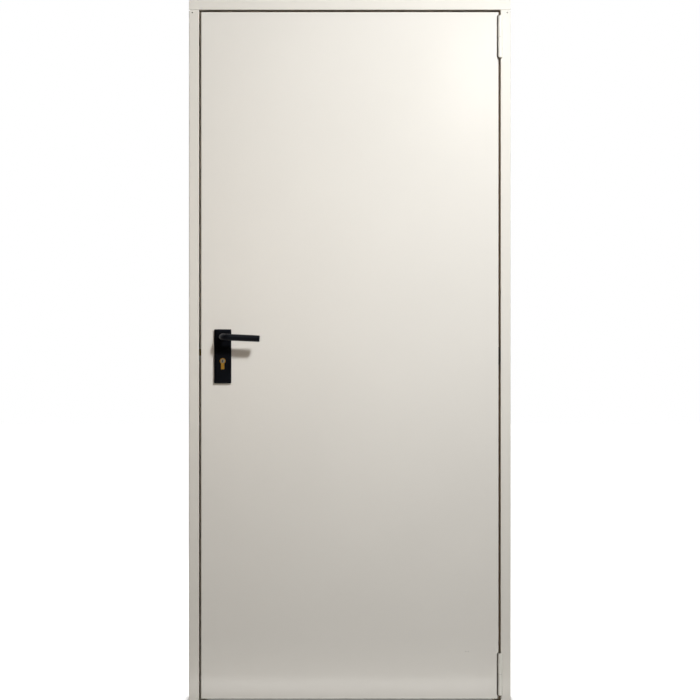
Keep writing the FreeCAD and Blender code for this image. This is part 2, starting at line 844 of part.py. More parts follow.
def make_latch():
    """The spring latch. Its slope faces the way that the leaf closes."""
    body = new_body("latch_bolt")
    shape = plan(body, "shape", LATCH_Z)
    tip = minus(LEAF_LOCK_X, size("latch_proud"))
    tail = plus(CASE_X, size("latch_tail"))
    front = minus(LEAF_MIDDLE_Y, half(size("bolt_depth")))
    back = plus(LEAF_MIDDLE_Y, half(size("bolt_depth")))
    outline(shape, [(tip, front), (tail, front), (tail, back), (LEAF_LOCK_X, back),
                    (tip, plus(front, size("latch_nose")))])
    pad(body, shape, size("bolt_height"), both_ways=True)


def make_deadbolt():
    """The deadbolt, drawn back until its end is almost level with the forend."""
    body = new_body("deadbolt")
    shape = side_view(body, "shape", minus(LEAF_LOCK_X, size("deadbolt_proud")))
    bolt_outline(shape, DEADBOLT_Z, "0")
    length = plus(size("deadbolt_proud"), size("forend_sheet"), size("deadbolt_tail"))
    pad(body, shape, length)


def cylinder_web(sketch, margin):
    """The flat-sided part of the profile cylinder, down from the middle of its barrel."""
    wide = plus(half(size("cylinder_web")), margin)
    low = minus(plus(KEY_Z, size("cylinder_radius")), size("cylinder_height"), margin)
    rectangle(sketch, minus(SPINDLE_X, wide), low, plus(SPINDLE_X, wide), KEY_Z)


def cylinder_front():
    return minus(LEAF_FRONT_Y, size("plate_depth"), size("cylinder_proud"))


def cylinder_length():
    proud = times(2, plus(size("plate_depth"), size("cylinder_proud")))
    return plus(size("leaf_depth"), proud)


def make_key_cylinder():
    """The profile cylinder, with a bore at each end for its plug."""
    body = new_body("key_cylinder")
    barrel = elevation(body, "barrel", cylinder_front())
    circle(barrel, SPINDLE_X, KEY_Z, size("cylinder_radius"))
    pad(body, barrel, cylinder_length(), backwards=True)
    web = elevation(body, "web", cylinder_front())
    cylinder_web(web, "0")
    pad(body, web, cylinder_length(), backwards=True)
    bore = plus(size("plug_radius"), size("plug_gap"))
    front_bore = elevation(body, "front_bore", cylinder_front())
    circle(front_bore, SPINDLE_X, KEY_Z, bore)
    cut(body, front_bore, size("plug_depth"))
    back_bore = elevation(body, "back_bore", plus(cylinder_front(), cylinder_length()))
    circle(back_bore, SPINDLE_X, KEY_Z, bore)
    cut(body, back_bore, size("plug_depth"), backwards=True)


def make_plug(label, face, backwards):
    """The plug that the key turns, with its keyway."""
    body = new_body(label)
    disc = elevation(body, "disc", face)
    circle(disc, SPINDLE_X, KEY_Z, size("plug_radius"))
    pad(body, disc, size("plug_depth"), backwards=backwards)
    keyway = elevation(body, "keyway", face)
    wide = half(size("keyway_width"))
    high = half(size("keyway_height"))
    rectangle(keyway, minus(SPINDLE_X, wide), minus(KEY_Z, high),
              plus(SPINDLE_X, wide), plus(KEY_Z, high))
    cut(body, keyway, size("keyway_depth"), backwards=not backwards)


# Handles


def make_handle_plate(label, leaf_face, way):
    """A plate with a bevelled rim, a bore for the lever and a cut-out for the cylinder."""
    body = new_body(label)
    shape = elevation(body, "shape", leaf_face)
    wide = half(size("plate_width"))
    high = plus(HANDLE_Z, size("plate_above"))
    low = minus(high, size("plate_height"))
    rectangle(shape, minus(SPINDLE_X, wide), low, plus(SPINDLE_X, wide), high)
    outwards = way > 0
    pad(body, shape, size("plate_depth"), backwards=outwards)
    bevel_face(body, Vector(0, way, 0), size("plate_bevel_depth"), size("plate_bevel"))
    blunt_corners(body, low, high)
    bore = elevation(body, "lever_bore", leaf_face)
    circle(bore, SPINDLE_X, HANDLE_Z, plus(size("lever_radius"), size("lever_gap")))
    cut(body, bore)
    key_round = elevation(body, "cylinder_round_hole", leaf_face)
    circle(key_round, SPINDLE_X, KEY_Z, plus(size("cylinder_radius"), size("cylinder_gap")))
    cut(body, key_round)
    key_web = elevation(body, "cylinder_web_hole", leaf_face)
    cylinder_web(key_web, size("cylinder_gap"))
    cut(body, key_web)
    seat = elevation(body, "insert_seat", insert_face(leaf_face, way))
    insert_outline(seat, size("insert_gap"))
    cut(body, seat, size("insert_depth"), backwards=outwards)


def blunt_corners(body, low, high):
    """Take the four sharp points off a handle plate, through its bevel too."""
    corners = elevation(body, "corners", LEAF_MIDDLE_Y)
    wide = half(size("plate_width"))
    for side, edge in ((-1, minus(SPINDLE_X, wide)), (1, plus(SPINDLE_X, wide))):
        for rise, end in ((-1, low), (1, high)):
            inwards = minus(edge, times(side, size("plate_corner")))
            short = minus(end, times(rise, size("plate_corner")))
            outline(corners, [(edge, end), (edge, short), (inwards, end)])
    cut(body, corners)


def insert_face(leaf_face, way):
    return plus(leaf_face, times(way, size("plate_depth")))


def insert_outline(sketch, margin):
    wide = plus(half(size("insert_width")), margin)
    tall = plus(half(size("insert_height")), margin)
    middle = minus(HANDLE_Z, size("insert_drop"))
    rectangle(sketch, minus(SPINDLE_X, wide), minus(middle, tall),
              plus(SPINDLE_X, wide), plus(middle, tall))


def make_plate_insert(label, leaf_face, way):
    body = new_body(label)
    shape = elevation(body, "shape", insert_face(leaf_face, way))
    insert_outline(shape, "0")
    pad(body, shape, size("insert_depth"), backwards=way < 0)


def make_lever(label, leaf_face, way):
    """A round lever: a straight neck, an elbow bent through a right angle, and a grip with
    a bevelled end. The neck has a square socket. The outlines are drawn from the spindle's
    axis at the face of the leaf."""
    body = new_body(label)
    root = times(way, lever_root())
    neck = elevation(body, "neck", root)
    circle(neck, "0", "0", size("lever_radius"))
    straight = minus(size("lever_standoff"), size("elbow_radius"), lever_root())
    pad(body, neck, straight, backwards=way > 0)
    bend_start = times(way, minus(size("lever_standoff"), size("elbow_radius")))
    bend = elevation(body, "elbow", bend_start)
    bend.setExpression("AttachmentOffset.Base.x", size("elbow_radius"))
    circle(bend, times(-1, size("elbow_radius")), "0", size("lever_radius"))
    turn(body, bend, "V_Axis", RIGHT_ANGLE, backwards=way > 0)
    grip = plan(body, "grip")
    grip.setExpression("AttachmentOffset.Base.y", times(way, size("lever_standoff")))
    rim = minus(size("lever_length"), size("lever_end_bevel"))
    outline(grip, [(size("elbow_radius"), "0"), (size("lever_length"), "0"),
                   (size("lever_length"), minus(size("lever_radius"), size("lever_end_bevel"))),
                   (rim, size("lever_radius")),
                   (size("elbow_radius"), size("lever_radius"))])
    turn(body, grip, "H_Axis", FULL_TURN)
    socket = elevation(body, "socket", root)
    square(socket, plus(half(size("spindle_width")), size("spindle_gap")))
    cut(body, socket, size("spindle_socket"), backwards=way < 0)
    turn_down(body)
    place(body, SPINDLE_X, leaf_face, HANDLE_Z)


def lever_root():
    return minus(size("plate_depth"), size("lever_inset"))


def square(sketch, reach):
    back = times(-1, reach)
    rectangle(sketch, back, back, reach, reach)


def turn_down(body):
    """Let the levers and their spindle hang a little below level."""
    droop = FreeCAD.Rotation(Vector(0, 1, 0), SIZES["lever_droop"])
    body.Placement = FreeCAD.Placement(Vector(0, 0, 0), droop)


def make_spindle():
    """The square bar through the lock that turns with both levers."""
    body = new_body("spindle")
    reach = plus(lever_root(), size("spindle_socket"))
    bar = elevation(body, "bar", times(-1, reach))
    square(bar, half(size("spindle_width")))
    pad(body, bar, plus(size("leaf_depth"), times(2, reach)), backwards=True)
    turn_down(body)
    place(body, SPINDLE_X, LEAF_FRONT_Y, HANDLE_Z)


def write_all():
    """Stop on any failed object, then write each sub-part's solid."""
    doc.recompute()
    for item in doc.Objects:
        if "Invalid" in item.State or "Error" in item.State:
            raise RuntimeError(f"{item.Label} failed: {item.State}")
    for body in subparts:
        shape = body.Shape
        if shape.isNull() or not shape.isValid() or len(shape.Solids) != 1:
            raise RuntimeError(f"{body.Label} is not one valid solid")
    os.makedirs("parts", exist_ok=True)
    for body in subparts:
        body.Shape.exportStep(f"parts/{body.Label}.step")
        print(body.Label, round(body.Shape.Volume))


make_jamb("hinge_jamb", from_hinge_side)
make_lock_jamb()
make_head()
make_corner_bracket("hinge_side_corner_bracket", from_hinge_side)
make_corner_bracket("lock_side_corner_bracket", from_lock_side)
make_seals()
make_strike_box()
make_hinge("top", TOP_HINGE_Z)
make_hinge("bottom", BOTTOM_HINGE_Z)
make_front_skin()
make_back_skin()
make_channel("top_channel", LEAF_TOP_Z, -1, TOP_HINGE_Z)
make_channel("bottom_channel", LEAF_BOTTOM_Z, 1, BOTTOM_HINGE_Z)
make_core()
make_hinge_plates()
make_blank_cover()
make_forend()
make_lock_case()
make_deadbolt()
make_latch()
make_key_cylinder()
make_plug("front_cylinder_plug", cylinder_front(), True)
make_plug("back_cylinder_plug", plus(cylinder_front(), cylinder_length()), False)
make_handle_plate("front_handle_plate", LEAF_FRONT_Y, -1)
make_handle_plate("back_handle_plate", LEAF_BACK_Y, 1)
make_plate_insert("front_plate_insert", LEAF_FRONT_Y, -1)
make_plate_insert("back_plate_insert", LEAF_BACK_Y, 1)
make_lever("front_lever", LEAF_FRONT_Y, -1)
make_lever("back_lever", LEAF_BACK_Y, 1)
make_spindle()
write_all()
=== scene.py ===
# %% [markdown]
# # A steel utility door
# The real object is a flat steel door: a leaf of two folded steel skins in a folded steel frame,
# with two lift-off hinges, a black lever handle and a lock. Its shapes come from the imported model,
# so this lesson is about the looks: the finishes, the small pieces that the model leaves out,
# the light and the camera.

import json
import math

import bmesh
import bpy
from mathutils import Matrix, Vector


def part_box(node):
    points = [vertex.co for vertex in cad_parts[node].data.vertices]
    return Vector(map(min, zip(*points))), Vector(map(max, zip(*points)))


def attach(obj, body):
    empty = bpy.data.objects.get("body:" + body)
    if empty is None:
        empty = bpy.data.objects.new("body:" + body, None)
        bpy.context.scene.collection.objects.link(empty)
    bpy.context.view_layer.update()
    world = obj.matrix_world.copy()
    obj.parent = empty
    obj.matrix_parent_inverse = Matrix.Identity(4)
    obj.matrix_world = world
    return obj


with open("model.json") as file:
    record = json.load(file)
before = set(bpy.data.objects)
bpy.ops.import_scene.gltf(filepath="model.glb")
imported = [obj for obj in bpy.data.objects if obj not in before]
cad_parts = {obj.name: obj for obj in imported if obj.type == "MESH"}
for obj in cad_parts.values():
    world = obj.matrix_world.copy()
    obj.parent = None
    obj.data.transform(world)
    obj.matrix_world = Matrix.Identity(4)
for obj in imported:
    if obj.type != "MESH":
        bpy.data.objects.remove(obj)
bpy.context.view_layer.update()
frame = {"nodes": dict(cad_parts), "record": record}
nodes = frame["nodes"]

# %% [markdown]
# ## Measures
# Places on the door could be typed in, but then they would be wrong as soon as the model changed.
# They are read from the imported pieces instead. Blender works in metres and such a door is drawn in
# millimetres, so one helper gives the two corners of a piece in that unit.

# %% Measures
MILLIMETRE = 0.001


def corners_of(name):
    """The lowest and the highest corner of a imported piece, in millimetres."""
    return tuple(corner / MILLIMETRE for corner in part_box(name))


FACE_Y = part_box("front_skin")[0].y
leaf_low, leaf_high = corners_of("front_skin")
head_low, head_high = corners_of("frame_head")
MIDDLE_X = (head_low.x + head_high.x) / 2 * MILLIMETRE
print("face plane y:", round(FACE_Y, 4), "middle of the door x:", round(MIDDLE_X, 4))

# %% [markdown]
# ## Where the camera stands
# A door is photographed from far away with a long lens, so that its edges stay upright and its
# sides are hardly seen. The camera could be placed by eye, but two known lengths are safer: the
# door's height in the picture gives the width that the picture covers, and that width and the
# distance give the lens.

# %% Camera
EYE_DISTANCE = 8.0
EYE = Vector((-0.4524, FACE_Y - EYE_DISTANCE, 1.053))
PICTURE_WIDTH = 2.0951

camera_data = bpy.data.cameras.new("camera")
camera_data.sensor_width = 36.0
camera_data.lens = camera_data.sensor_width * EYE_DISTANCE / PICTURE_WIDTH
camera_data.clip_start = 0.1
camera_data.clip_end = 100.0
camera = bpy.data.objects.new("camera", camera_data)
camera.location = EYE
camera.rotation_euler = (math.radians(90), 0.0, 0.0)
bpy.context.scene.collection.objects.link(camera)
bpy.context.scene.camera = camera
print("camera at:", [round(v, 4) for v in EYE], "lens:", round(camera_data.lens, 2))

# %% [markdown]
# ## Colours as they are read
# Paint colours are read from a picture as numbers from 0 to 255. Blender's sockets want linear
# light, so one helper turns the first into the second. The Standard view keeps the two in step.


# %% Colour helpers
def linear(red, green, blue):
    """An sRGB colour from 0 to 255 as linear light with full alpha."""
    light = []
    for part in (red, green, blue):
        share = part / 255
        light.append(share / 12.92 if share <= 0.04045 else ((share + 0.055) / 1.055) ** 2.4)
    return (*light, 1.0)


def shaded(tone, share):
    """A tone made darker or lighter by a share, and never brighter than full light."""
    return (*(min(1.0, part * share) for part in tone[:3]), 1.0)


bpy.context.scene.view_settings.view_transform = "Standard"
print("mid grey is", [round(v, 3) for v in linear(188, 188, 188)[:3]])

# %% [markdown]
# ## Building a finish from nodes
# Each finish is a Principled shader with patterns behind its colour, its roughness and its bump.
# The patterns use object coordinates, which are metres here, so that a scale of 400 means grains
# of about 2.5 mm on every piece. Most helpers below add one node and hand back its output.


# %% Node helpers
def new_finish(name, roughness, metallic=0.0):
    """An empty finish: the material, its tree, its shader and its coordinates in metres."""
    material = bpy.data.materials.new(name)
    material.use_nodes = True
    tree = material.node_tree
    shader = tree.nodes["Principled BSDF"]
    shader.inputs["Roughness"].default_value = roughness
    shader.inputs["Metallic"].default_value = metallic
    metres = tree.nodes.new("ShaderNodeTexCoord").outputs["Object"]
    return material, tree, shader, metres


def noise(tree, metres, scale, detail=3.0, stretch=(1.0, 1.0, 1.0)):
    """Cloudy noise with scale grains to the metre, drawn out along an axis by stretch."""
    place = tree.nodes.new("ShaderNodeMapping")
    place.inputs["Scale"].default_value = stretch
    tree.links.new(metres, place.inputs["Vector"])
    node = tree.nodes.new("ShaderNodeTexNoise")
    node.inputs["Scale"].default_value = scale
    node.inputs["Detail"].default_value = detail
    tree.links.new(place.outputs["Vector"], node.inputs["Vector"])
    return node.outputs["Fac"]


def remap(tree, value, low, high, to_low=0.0, to_high=1.0):
    """The value from low to high, spread over to_low to to_high and held at both ends."""
    node = tree.nodes.new("ShaderNodeMapRange")
    node.inputs["From Min"].default_value = low
    node.inputs["From Max"].default_value = high
    node.inputs["To Min"].default_value = to_low
    node.inputs["To Max"].default_value = to_high
    tree.links.new(value, node.inputs["Value"])
    return node.outputs["Result"]


def patches(tree, metres, scale, detail, low=0.3, high=0.7, to_low=0.0, to_high=1.0):
    """Cloudy noise, of which the part from low to high is spread over to_low to to_high."""
    return remap(tree, noise(tree, metres, scale, detail), low, high, to_low, to_high)


def blend_colours(tree, share, first, second):
    """A mix of two colours, each four numbers or an output."""
    node = tree.nodes.new("ShaderNodeMix")
    node.data_type = "RGBA"
    tree.links.new(share, node.inputs["Factor"])
    for name, value in (("A", first), ("B", second)):
        socket = [s for s in node.inputs if s.name == name and s.type == "RGBA"][0]
        if isinstance(value, tuple):
            socket.default_value = value
        else:
            tree.links.new(value, socket)
    return [s for s in node.outputs if s.type == "RGBA"][0]


def raise_surface(tree, height, distance, strength=1.0, normal=None):
    """A bump of that distance in metres, on top of an earlier normal if there is one."""
    node = tree.nodes.new("ShaderNodeBump")
    node.inputs["Strength"].default_value = strength
    node.inputs["Distance"].default_value = distance
    tree.links.new(height, node.inputs["Height"])
    if normal is not None:
        tree.links.new(normal, node.inputs["Normal"])
    return node.outputs["Normal"]


def connect(tree, shader, colour, roughness, normal):
    """The three outputs that make a finish, each put into its socket of the shader."""
    for name, output in (("Base Color", colour), ("Roughness", roughness), ("Normal", normal)):
        tree.links.new(output, shader.inputs[name])


print("node helpers ready: new_finish, noise, remap, patches, blend_colours, raise_surface, connect")


# %% Sums and places
def math_of(tree, operation, first, second):
    """One sum on two values, each a number or an output."""
    node = tree.nodes.new("ShaderNodeMath")
    node.operation = operation
    for socket, value in zip(node.inputs, (first, second)):
        if isinstance(value, (int, float)):
            socket.default_value = value
        else:
            tree.links.new(value, socket)
    return node.outputs["Value"]


def times(tree, first, second):
    """The product of two values, each a number or an output."""
    return math_of(tree, "MULTIPLY", first, second)


def along(tree, metres, axis):
    """How far along one axis a point lies, in metres."""
    node = tree.nodes.new("ShaderNodeSeparateXYZ")
    tree.links.new(metres, node.inputs["Vector"])
    return node.outputs[axis]


def away_from(tree, metres, axis, middle):
    """How far from a middle a point lies along one axis, in metres."""
    offset = math_of(tree, "SUBTRACT", along(tree, metres, axis), middle)
    return math_of(tree, "ABSOLUTE", offset, 0.0)


print("sums and places ready: math_of, times, along, away_from")

# %% [markdown]
# ## Where edges are
# On real sheet steel no edge is perfectly sharp: it has a small radius that catches the light, and
# paint is thinnest and wears first there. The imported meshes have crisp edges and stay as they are,
# so the rounding is done in the shader: the Bevel node gives the normal that a rounded edge would
# have, and where it leans away from the flat face, there is an edge.


# %% Edge helpers
def rounded_normal(tree, radius):
    """The normal of the piece as if its edges had that radius in metres."""
    node = tree.nodes.new("ShaderNodeBevel")
    node.samples = 4
    node.inputs["Radius"].default_value = radius
    return node.outputs["Normal"]


def edge_share(tree, rounded, start=0.02, full=0.25):
    """0 on flat ground, 1 on an edge."""
    flat = tree.nodes.new("ShaderNodeNewGeometry").outputs["True Normal"]
    node = tree.nodes.new("ShaderNodeVectorMath")
    node.operation = "DOT_PRODUCT"
    tree.links.new(flat, node.inputs[0])
    tree.links.new(rounded, node.inputs[1])
    return remap(tree, math_of(tree, "SUBTRACT", 1.0, node.outputs["Value"]), start, full)


print("edge helpers ready: rounded_normal, edge_share")

# %% [markdown]
# ## The paint
# Frame, leaf and hinges come in a stoved grey-white coat with a satin sheen. Seen close, such a
# coat has a faint orange peel with grains of a few millimetres, its sheet is never quite flat, and
# the tone drifts by a percent or so. The edges show a little of the darker primer where things
# have knocked them. In the rebate the coat is tinted a warm beige, least at the lock: this is
# painted warm bounce light, standing in for the light that bounces between the painted faces of
# the gaps. One function makes the three coats, which differ in tone, sheen and painted bounce light.

# %% Where the painted bounce light lies
PAINTED_BOUNCE_TONE = linear(240, 220, 190)
BOUNCE_STARTS_Y = FACE_Y + 1 * MILLIMETRE
BOUNCE_FULL_Y = FACE_Y + 12 * MILLIMETRE
BOUNCE_END = 2 * MILLIMETRE
BOUNCE_LEAST_X = (leaf_low.x - 2) * MILLIMETRE
BOUNCE_MOST_X = (leaf_low.x + 38) * MILLIMETRE
BOUNCE_AT_LOCK = 0.2


def rebate_painted_bounce(tree, metres, deepest):
    """Where painted warm bounce light tints the rebate: 1 behind the face of the door, down to the depth
    deepest in metres, and less at the lock.
    """
    depth = along(tree, metres, "Y")
    inside = remap(tree, depth, BOUNCE_STARTS_Y, BOUNCE_FULL_Y)
    still_in = remap(tree, depth, deepest, deepest + BOUNCE_END, 1.0, 0.0)
    beside_lock = remap(tree, along(tree, metres, "X"), BOUNCE_LEAST_X, BOUNCE_MOST_X, BOUNCE_AT_LOCK, 1.0)
    return times(tree, times(tree, inside, still_in), beside_lock)


# This shows where the painted warm bounce light in the rebate is full and where it thins out towards the
# lock.
print("dust is full from y", round(BOUNCE_FULL_Y, 4), "and thins out at the lock from x", round(BOUNCE_MOST_X, 4))

# %% Scuffs
SCUFF_RADIUS = 2.2 * MILLIMETRE
SCUFF_CORE = 0.4 * SCUFF_RADIUS


def scuff(tree, metres, x, z):
    """A small round mark at that place on the face of the door, 1 at its middle."""
    flat = tree.nodes.new("ShaderNodeVectorMath")
    flat.operation = "MULTIPLY"
    tree.links.new(metres, flat.inputs[0])
    flat.inputs[1].default_value = (1.0, 0.0, 1.0)
    away = tree.nodes.new("ShaderNodeVectorMath")
    away.operation = "DISTANCE"
    tree.links.new(flat.outputs["Vector"], away.inputs[0])
    away.inputs[1].default_value = (x, 0.0, z)
    return remap(tree, away.outputs["Value"], SCUFF_CORE, SCUFF_RADIUS, 1.0, 0.0)


print("scuffs have a radius of", SCUFF_RADIUS, "metres")

# %% Satin paint
DRIFT_SHARE = 0.972
PRIMER_TONE = linear(150, 146, 140)
PRIMER_SHARE = 0.55
PAINT_EDGE = 0.9 * MILLIMETRE
PEEL_DEPTH = 0.03 * MILLIMETRE


def satin_paint(name, tone, roughness, sheet_wave, dust, deepest, scuffs=()):
    """A stoved coat on sheet steel. sheet_wave is how far the sheet is from flat, in metres, dust is
    the share of painted warm bounce light in the rebate, as far as deepest, and scuffs are (x, z)."""
    material, tree, shader, metres = new_finish(name, roughness)
    drift = patches(tree, metres, 2.2, 4.0)
    coat = blend_colours(tree, drift, shaded(tone, DRIFT_SHARE), tone)
    rounded = rounded_normal(tree, PAINT_EDGE)
    knocks = patches(tree, metres, 38.0, 5.0, 0.56, 0.66)
    worn = times(tree, edge_share(tree, rounded), knocks)
    for x, z in scuffs:
        worn = math_of(tree, "MAXIMUM", worn, scuff(tree, metres, x, z))
    # Painted warm bounce light: the coat in the rebate is tinted warm beige.
    bounce_share = times(tree, rebate_painted_bounce(tree, metres, deepest), dust)
    coat = blend_colours(tree, bounce_share, coat, PAINTED_BOUNCE_TONE)
    colour = blend_colours(tree, times(tree, worn, PRIMER_SHARE), coat, PRIMER_TONE)
    sheen = patches(tree, metres, 5.0, 2.0, 0.2, 0.8, roughness - 0.02, roughness + 0.02)
    wave = raise_surface(tree, noise(tree, metres, 1.7, 1.0), sheet_wave, 1.0, rounded)
    peel = raise_surface(tree, noise(tree, metres, 420.0, 2.0), PEEL_DEPTH, 0.6, wave)
    connect(tree, shader, colour, sheen, peel)
    return material


print("satin paint ready, primer shows by", PRIMER_SHARE, "at worn edges")

# %% The three coats
FRAME_TONE = linear(222, 218, 209)
LEAF_TONE = linear(224, 220, 212)
HINGE_TONE = linear(228, 225, 215)
LEAF_SCUFFS = ((-0.1058, 0.1506), (-0.0983, 0.1506))
LEAF_WAVE = 0.6 * MILLIMETRE
# How deep the painted warm bounce light reaches in the rebate of each coat; the fifth number of each coat
# below is its share.
frame_bounce_y = (corners_of("head_seal")[1].y + 2) * MILLIMETRE
leaf_bounce_y = (leaf_high.y - 3) * MILLIMETRE
hinge_bounce_y = (leaf_high.y - 5) * MILLIMETRE
frame_paint = satin_paint("frame_paint", FRAME_TONE, 0.21, 0.0, 0.85, frame_bounce_y)
leaf_paint = satin_paint("leaf_paint", LEAF_TONE, 0.2, LEAF_WAVE, 0.6, leaf_bounce_y, LEAF_SCUFFS)
hinge_paint = satin_paint("hinge_paint", HINGE_TONE, 0.28, 0.0, 0.3, hinge_bounce_y)
print("paints:", frame_paint.name, leaf_paint.name, hinge_paint.name)

# %% [markdown]
# ## Black plastic
# The lever, its plate and the small cover in the hinge edge are moulded from black nylon with
# glass fibre. It is not quite black, has a very fine grain, and its edges go grey and smooth
# where hands rub them.

# %% Moulded nylon
NYLON_SHINE = 0.3
NYLON_SHINE_TINT = (0.78, 0.86, 1.0, 1.0)
MOTTLE_SHARE = 1.4
RUBBED_TONE = linear(62, 62, 64)
RUBBED_SHARE = 0.35
NYLON_EDGE = 0.5 * MILLIMETRE


def moulded_nylon(name, tone, roughness, grain):
    """Black nylon. grain is the depth of its moulded grain in metres."""
    material, tree, shader, metres = new_finish(name, roughness)
    shader.inputs["Specular IOR Level"].default_value = NYLON_SHINE
    shader.inputs["Specular Tint"].default_value = NYLON_SHINE_TINT
    mottle = patches(tree, metres, 60.0, 4.0)
    body = blend_colours(tree, mottle, tone, shaded(tone, MOTTLE_SHARE))
    rounded = rounded_normal(tree, NYLON_EDGE)
    rubbed = times(tree, edge_share(tree, rounded), patches(tree, metres, 90.0, 4.0, 0.42, 0.62))
    colour = blend_colours(tree, times(tree, rubbed, RUBBED_SHARE), body, RUBBED_TONE)
    sheen = patches(tree, metres, 25.0, 5.0, 0.3, 0.7, roughness - 0.05, roughness + 0.06)
    fine = raise_surface(tree, noise(tree, metres, 2600.0, 2.0), grain, 0.5, rounded)
    connect(tree, shader, colour, sheen, fine)
    return material


lever_nylon = moulded_nylon("handle_plastic", linear(6, 6, 9), 0.34, 0.02 * MILLIMETRE)
cover_nylon = moulded_nylon("cover_plastic", linear(16, 16, 16), 0.5, 0.03 * MILLIMETRE)
print("plastics:", lever_nylon.name, cover_nylon.name)

# %% [markdown]
# ## Plated and turned metal
# The bolts and the forend are zinc plated and passivated yellow, the cylinder is turned brass, its
# plug is nickelled, and the pins and screws are plain steel with a film of grease. They share one
# recipe: fine machining lines along one direction, blotches in the plating, and edges made lighter,
# partly as rubbed wear and partly as a painted highlight. The keyway is a narrow well in the plug,
# and no light comes back from it, so a painted shade darkens the plug's finish a little way under its
# face.

# %% Machined metal
METAL_EDGE = 0.3 * MILLIMETRE
METAL_EDGE_WEAR_AND_HIGHLIGHT = 1.5
MARK_DEPTH = 0.006 * MILLIMETRE
PAINTED_WELL_SHADE = linear(16, 13, 10)
WELL_RIM_SHARE = 0.2
front_plug_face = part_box("front_cylinder_plug")[0].y
back_plug_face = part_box("back_cylinder_plug")[1].y
LOCK_MIDDLE_Y = (front_plug_face + back_plug_face) / 2
LOCK_HALF = (back_plug_face - front_plug_face) / 2


def machined_metal(name, tone, blotch, roughness, lines, blotch_scale=140.0, shade_depth=0.0):
    """A metal finish. lines draws the machining marks out along the axes with small numbers,
    blotch_scale is how many blotches of the second tone there are to the metre, and shade_depth
    is how deep under both faces of the lock a painted shade darkens the metal, 0 for nowhere."""
    material, tree, shader, metres = new_finish(name, roughness, 1.0)
    plated = blend_colours(tree, patches(tree, metres, blotch_scale, 5.0, 0.35, 0.65), tone, blotch)
    rounded = rounded_normal(tree, METAL_EDGE)
    # Rubbed wear and a painted highlight: the edges are made lighter than the plating.
    rubbed_and_lit_edge = shaded(tone, METAL_EDGE_WEAR_AND_HIGHLIGHT)
    colour = blend_colours(tree, edge_share(tree, rounded), plated, rubbed_and_lit_edge)
    # Painted shade: under the faces of the lock the metal is darkened, as no light comes back from the
    # keyway.
    if shade_depth:
        from_middle = away_from(tree, metres, "Y", LOCK_MIDDLE_Y)
        rim_depth = WELL_RIM_SHARE * shade_depth
        well = remap(tree, from_middle, LOCK_HALF - shade_depth, LOCK_HALF - rim_depth, 1.0, 0.0)
        colour = blend_colours(tree, well, colour, PAINTED_WELL_SHADE)
    marks = noise(tree, metres, 2400.0, 2.0, lines)
    sheen = remap(tree, marks, 0.3, 0.7, roughness - 0.04, roughness + 0.06)
    connect(tree, shader, colour, sheen, raise_surface(tree, marks, MARK_DEPTH, 0.4, rounded))
    return material


print("metal ready, the lock is", round(2 * LOCK_HALF, 4), "metres from face to face")

# %% The four metals
DRAWN_UP = (1.0, 1.0, 0.03)
DRAWN_ACROSS = (1.0, 0.04, 0.03)
FINE_BLOTCHES = 320.0
# How deep under the plug's face the painted keyway shade starts.
KEYWAY_SHADE_DEPTH = 0.6 * MILLIMETRE
yellow_zinc = machined_metal("yellow_zinc", linear(172, 142, 82), linear(142, 130, 88), 0.34, DRAWN_UP)
cylinder_brass = machined_metal(
    "cylinder_brass", linear(244, 188, 84), linear(230, 170, 68), 0.46, DRAWN_ACROSS, FINE_BLOTCHES
)
cylinder_nickel = machined_metal(
    "cylinder_nickel", linear(226, 216, 196), linear(206, 194, 170), 0.38, DRAWN_ACROSS, FINE_BLOTCHES,
    KEYWAY_SHADE_DEPTH,
)
pin_steel = machined_metal("pin_steel", linear(124, 120, 114), linear(96, 88, 78), 0.3, DRAWN_UP)
print("metals:", yellow_zinc.name, cylinder_brass.name, cylinder_nickel.name, pin_steel.name)

# %% [markdown]
# ## Galvanised sheet
# The hidden reinforcements are hot-dip galvanised: the zinc freezes in crystals of about a
# centimetre, each with its own grey. Voronoi cells make such crystals directly.

# %% Galvanised steel
CRYSTALS_PER_METRE = 110.0
DARK_CRYSTAL = linear(150, 153, 156)
PALE_CRYSTAL = linear(186, 188, 190)
ZINC_EDGE = 0.4 * MILLIMETRE
ZINC_GRAIN = 0.015 * MILLIMETRE


def galvanised(name):
    """Zinc crystals on sheet steel."""
    material, tree, shader, metres = new_finish(name, 0.42, 0.85)
    cells = tree.nodes.new("ShaderNodeTexVoronoi")
    cells.inputs["Scale"].default_value = CRYSTALS_PER_METRE
    tree.links.new(metres, cells.inputs["Vector"])
    grey = tree.nodes.new("ShaderNodeRGBToBW")
    tree.links.new(cells.outputs["Color"], grey.inputs["Color"])
    crystal = remap(tree, grey.outputs["Val"], 0.2, 0.8)
    colour = blend_colours(tree, crystal, DARK_CRYSTAL, PALE_CRYSTAL)
    sheen = remap(tree, crystal, 0.0, 1.0, 0.34, 0.52)
    rounded = rounded_normal(tree, ZINC_EDGE)
    grain = raise_surface(tree, noise(tree, metres, 700.0, 3.0), ZINC_GRAIN, 0.5, rounded)
    connect(tree, shader, colour, sheen, grain)
    return material


galvanised_steel = galvanised("galvanised_steel")
print("sheet:", galvanised_steel.name)

# %% [markdown]
# ## Seal rubber and core board
# The seals in the frame's rebate are soft extruded rubber, matt and slightly dusty. The core of
# the leaf is glued cardboard with fibres, and nothing of it shows while the leaf is whole.


